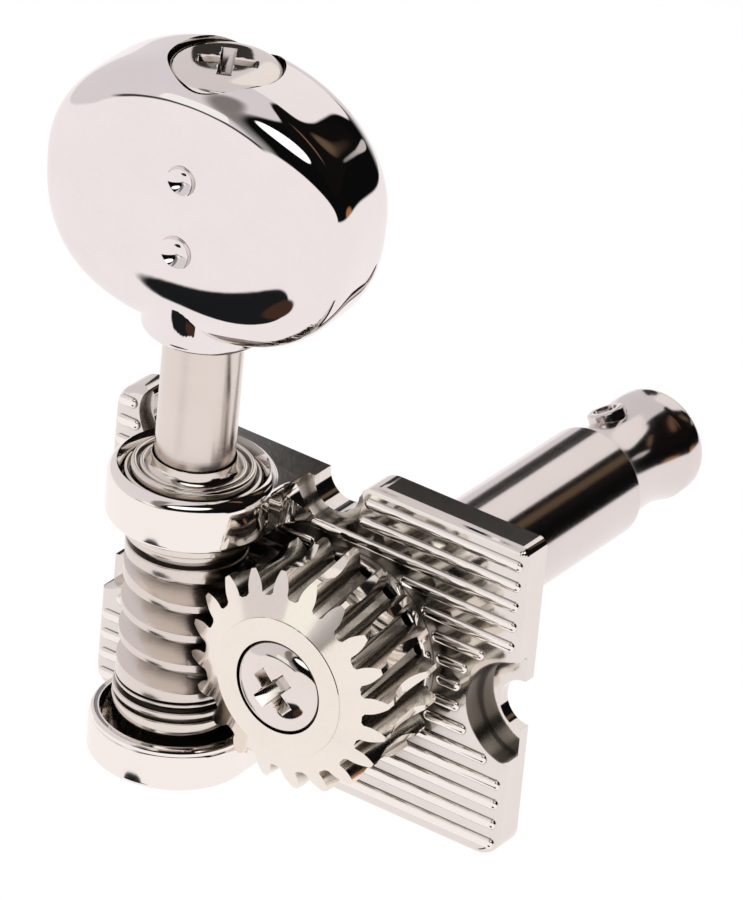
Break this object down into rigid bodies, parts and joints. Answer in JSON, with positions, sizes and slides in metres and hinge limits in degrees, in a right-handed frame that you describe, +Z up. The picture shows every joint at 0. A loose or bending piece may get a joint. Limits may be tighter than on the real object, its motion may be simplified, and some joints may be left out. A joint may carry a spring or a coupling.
{
  "type": "guitar tuning machine",
  "caption": "Open-gear tuning machine: an oval button turns a worm that drives the gear on a string post, on a ribbed plate with two lugs.",
  "frame": {"origin": "where the string post's axis leaves the back face of the plate, the face that lies on the headstock", "axes": "+X along the ribs of the plate, away from the worm; +Y along the string post, from the gear through the headstock; +Z up the worm shaft, towards the button"},
  "size_m": [0.0272, 0.0366, 0.0411],
  "materials": {
    "polished_nickel": "polished nickel plate, slightly warm",
    "satin_nickel": "turned steel with a nickel plate",
    "button_chrome": "mirror polish on a cast button"
  },
  "bodies": {
    "plate": {"base_plate": "polished_nickel", "retaining_bush": "polished_nickel", "upper_thrust_washer": "satin_nickel", "lower_thrust_washer": "satin_nickel", "lower_bush": "satin_nickel"},
    "spindle": {"worm_shaft": "satin_nickel", "button": "button_chrome", "button_screw": "polished_nickel"},
    "post": {"string_post": "polished_nickel", "gear": "satin_nickel", "gear_screw": "polished_nickel"}
  },
  "joints": [
    {"name": "button_spin", "type": "hinge", "parent": "plate", "child": "spindle", "pos_m": [-0.00826, -0.00534, 0], "axis": [0, 0, 1], "continuous": true},
    {"name": "post_spin", "type": "hinge", "parent": "plate", "child": "post", "pos_m": [0, 0, 0], "axis": [0, 1, 0], "continuous": true}
  ],
  "couplings": [
    {"joint": "post_spin", "follows": "button_spin", "ratio": 0.05}
  ]
}
